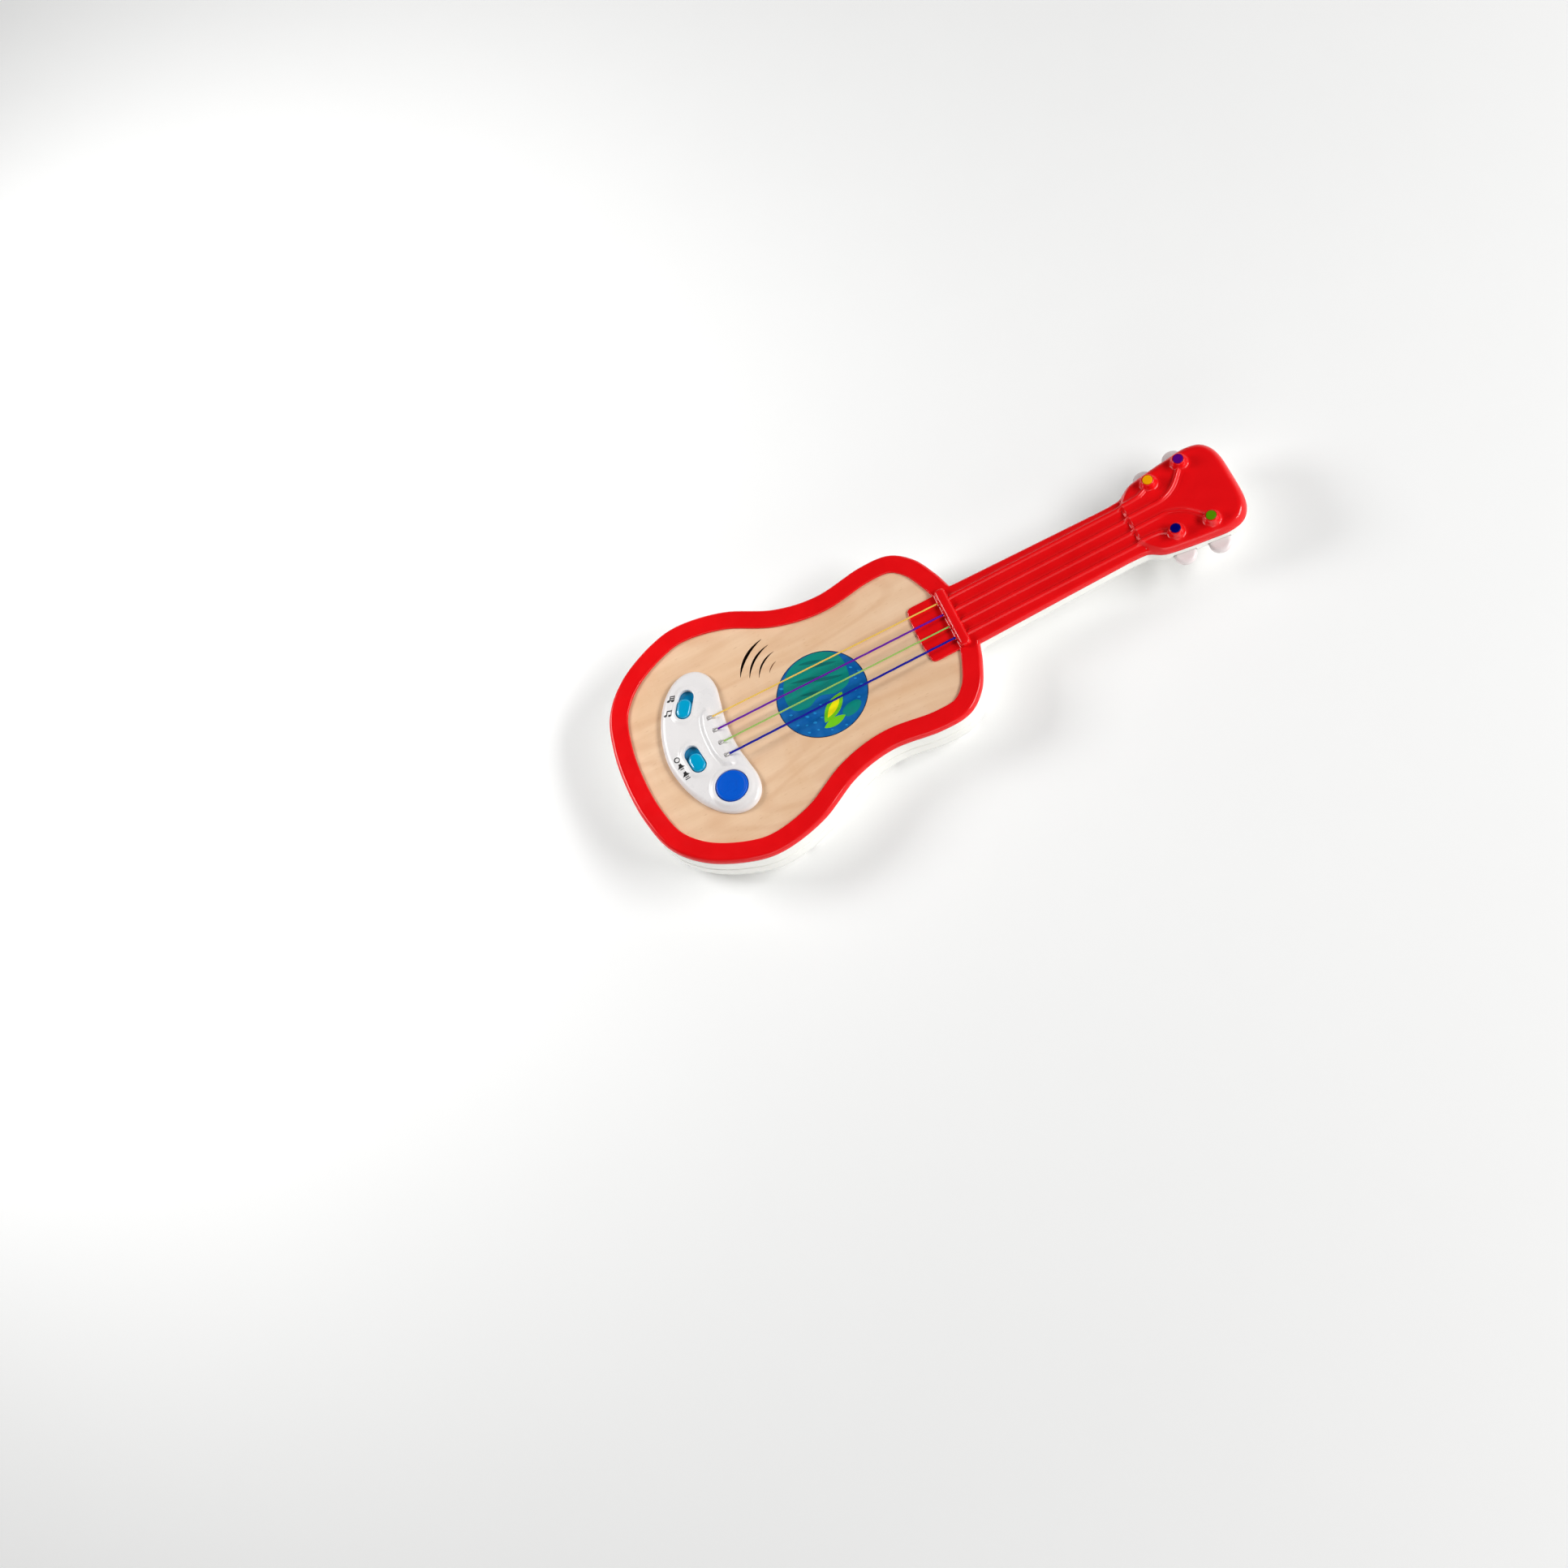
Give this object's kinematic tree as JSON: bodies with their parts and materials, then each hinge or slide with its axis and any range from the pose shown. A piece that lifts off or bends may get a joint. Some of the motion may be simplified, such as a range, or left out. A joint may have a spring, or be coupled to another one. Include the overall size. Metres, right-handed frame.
{
  "type": "toy ukulele",
  "caption": "Child's toy ukulele: waisted body with a wooden face and sound panel, coloured strings, slim neck and a head with pegs; it lies on its back.",
  "frame": {"origin": "on the table under the middle of the instrument's bounding box, in the plane of its flat back", "axes": "+Y along the neck towards the head, +Z out of the strings, +X to the right seen from the front with the head up"},
  "size_m": [0.1694, 0.412, 0.0411],
  "materials": {
    "shell_red": "glossy moulded red",
    "shell_white": "glossy moulded white",
    "panel_white": "glossy moulded white",
    "face_wood": "satin varnished pale wood",
    "slider_cyan": "glossy cyan plastic",
    "button_blue": "satin blue plastic",
    "knob_white": "satin off-white",
    "string_yellow": "satin cord",
    "string_purple": "satin cord",
    "string_green": "satin cord",
    "string_blue": "satin cord",
    "dot_yellow": "glossy insert",
    "dot_purple": "glossy insert",
    "dot_green": "glossy insert",
    "dot_blue": "glossy insert",
    "steel": "bright",
    "board_green": "solder mask",
    "black_part": "moulded black",
    "speaker_paper": "pressed paper",
    "cell_wrap": "printed sleeve",
    "clear_rubber": "silicone",
    "wire_red": "vinyl"
  },
  "bodies": {
    "root": {"back_shell": "shell_white", "battery_box": "shell_white", "battery_cell_1": "cell_wrap", "battery_cell_2": "cell_wrap", "battery_cell_3": "cell_wrap", "battery_contact_1": "steel", "battery_contact_2": "steel", "battery_contact_3": "steel", "battery_contact_4": "steel", "battery_wire_black": "black_part", "battery_wire_red": "wire_red", "board_screw_1": "steel", "board_screw_2": "steel", "button_dome": "clear_rubber", "case_screw_1": "steel", "case_screw_10": "steel", "case_screw_2": "steel", "case_screw_3": "steel", "case_screw_4": "steel", "case_screw_5": "steel", "case_screw_6": "steel", "case_screw_7": "steel", "case_screw_8": "steel", "case_screw_9": "steel", "control_panel": "panel_white", "front_shell": "shell_red", "main_board": "board_green", "mode_switch": "steel", "panel_screw_1": "steel", "panel_screw_2": "steel", "peg_dot_blue": "dot_blue", "peg_dot_green": "dot_green", "peg_dot_purple": "dot_purple", "peg_dot_yellow": "dot_yellow", "sound_chip": "black_part", "soundboard": "face_wood", "speaker_cone": "speaker_paper", "speaker_frame": "steel", "speaker_magnet": "steel", "speaker_wire_black": "black_part", "speaker_wire_red": "wire_red", "string_bar": "shell_red", "string_blue": "string_blue", "string_ferrule_1": "steel", "string_ferrule_2": "steel", "string_ferrule_3": "steel", "string_ferrule_4": "steel", "string_green": "string_green", "string_purple": "string_purple", "string_yellow": "string_yellow", "tuning_knob_1": "knob_white", "tuning_knob_2": "knob_white", "tuning_knob_3": "knob_white", "tuning_knob_4": "knob_white", "volume_switch": "steel"},
    "mode_slider": {"mode_slider": "slider_cyan"},
    "volume_slider": {"volume_slider": "slider_cyan"},
    "song_button": {"song_button": "button_blue"},
    "battery_door": {"battery_door": "shell_white", "door_screw": "steel"}
  },
  "joints": [
    {"name": "mode_slide", "type": "slide", "parent": "root", "child": "mode_slider", "axis": [0.8387, -0.5446, 0], "range_m": [-0.0056, 0]},
    {"name": "volume_slide", "type": "slide", "parent": "root", "child": "volume_slider", "axis": [0.9925, 0.1219, 0], "range_m": [-0.0056, 0]},
    {"name": "button_press", "type": "slide", "parent": "root", "child": "song_button", "axis": [0, 0, -1], "range_m": [0, 0.002], "stiffness_N_per_m": 600, "springref_m": -0.0005, "deforming": ["button_dome"]},
    {"name": "battery_door_hinge", "type": "hinge", "parent": "root", "child": "battery_door", "pos_m": [0, -0.073, 0], "axis": [-1, 0, 0], "range_deg": [0, 75]}
  ]
}
